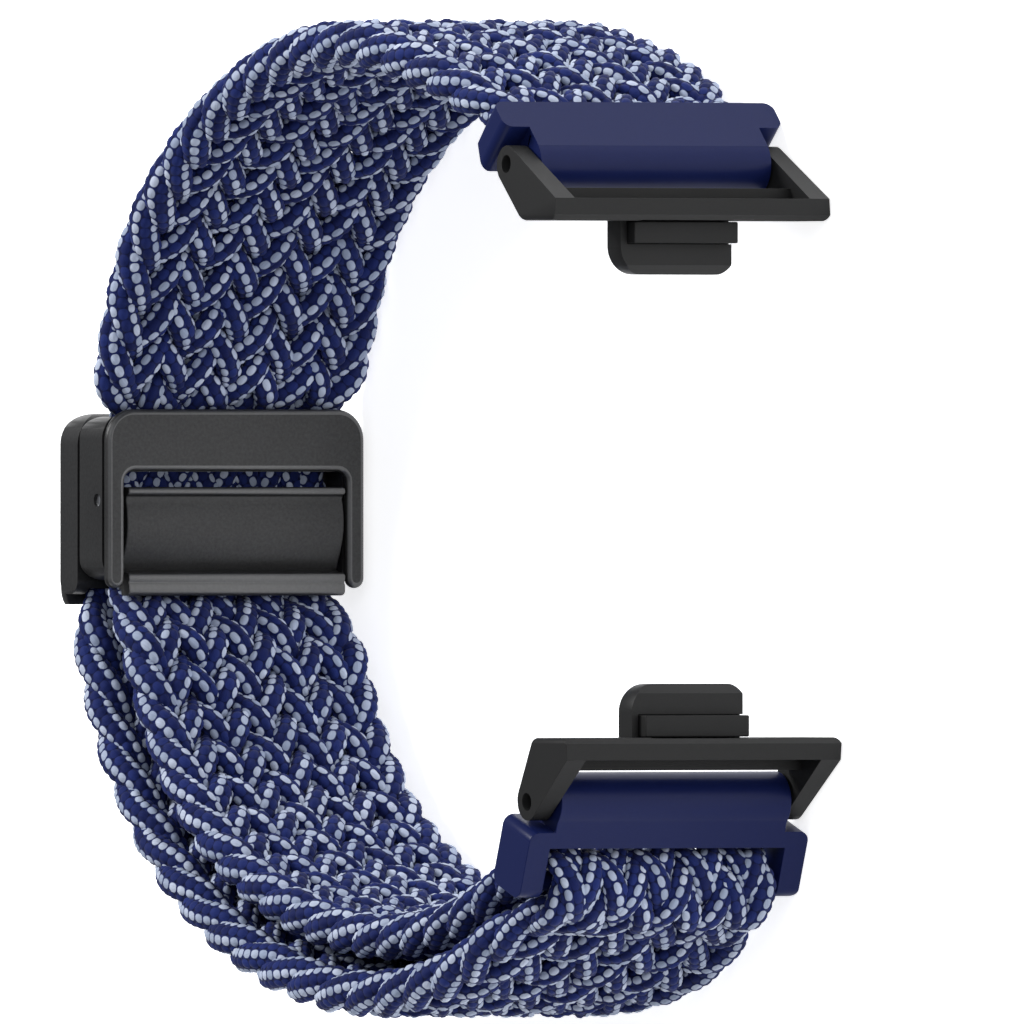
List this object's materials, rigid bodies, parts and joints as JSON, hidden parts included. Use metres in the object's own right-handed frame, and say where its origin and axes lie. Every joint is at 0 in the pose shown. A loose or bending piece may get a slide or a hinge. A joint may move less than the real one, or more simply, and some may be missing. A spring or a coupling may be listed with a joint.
{
  "type": "wrist tracker band",
  "caption": "Braided wrist band with hinged quick-release adapters, metal end clamps and a magnetic fold-back clasp with a clamping lever.",
  "frame": {"origin": "centre of the closed band's box at the surface it lies on, with the band on one edge", "axes": "+Z across the band's width, +X out through the tracker, +Y towards the band's fixed end"},
  "size_m": [0.0698, 0.0675, 0.0216],
  "materials": {
    "adapter_plastic": "fine matte",
    "catch_plastic": "fine matte",
    "pin_steel": "ground",
    "clamp_metal": "satin anodised",
    "braid": "two-tone nylon yarn",
    "sleeve_rubber": "matte",
    "clasp_metal": "sand-blasted",
    "yoke_steel": "plated",
    "magnet_nickel": "nickel plated",
    "carrier_plastic": "matte"
  },
  "bodies": {
    "clasp": {"clasp_base": "clasp_metal", "base_keeper": "yoke_steel", "clasp_face_plate": "clasp_metal", "lever_pin": "pin_steel", "upper_strap": "braid", "upper_strap_pin": "pin_steel", "upper_clamp": "clamp_metal", "lower_strap_inner": "braid", "lower_clamp": "clamp_metal"},
    "lever": {"clasp_lever": "clasp_metal", "lever_pad": "sleeve_rubber"},
    "tail": {"tail_strap": "braid", "tail_end_sleeve": "sleeve_rubber", "tail_anchor_pin": "pin_steel", "clasp_cover": "clasp_metal", "cover_magnets": "magnet_nickel", "cover_yoke": "yoke_steel", "magnet_carrier": "carrier_plastic"},
    "upper_link": {"upper_adapter": "adapter_plastic", "upper_catch": "catch_plastic", "upper_link_pin": "pin_steel"},
    "lower_link": {"lower_adapter": "adapter_plastic", "lower_catch": "catch_plastic", "lower_link_pin": "pin_steel"}
  },
  "joints": [
    {"name": "lever_open", "type": "hinge", "parent": "clasp", "child": "lever", "pos_m": [-0.0298, 0.0011, 0.0108], "axis": [0, 0, 1], "range_deg": [0, 70]},
    {"name": "tail_swing", "type": "hinge", "parent": "clasp", "child": "tail", "pos_m": [0.0272, -0.02429, 0.0108], "axis": [0, 0, 1], "range_deg": [0, 10]},
    {"name": "upper_adapter_swing", "type": "hinge", "parent": "clasp", "child": "upper_link", "pos_m": [0.0266, 0.0236, 0.0108], "axis": [0, 0, 1], "range_deg": [-45, 45]},
    {"name": "lower_adapter_swing", "type": "hinge", "parent": "clasp", "child": "lower_link", "pos_m": [0.0293, -0.0191, 0.0108], "axis": [0, 0, 1], "range_deg": [-45, 45]}
  ]
}
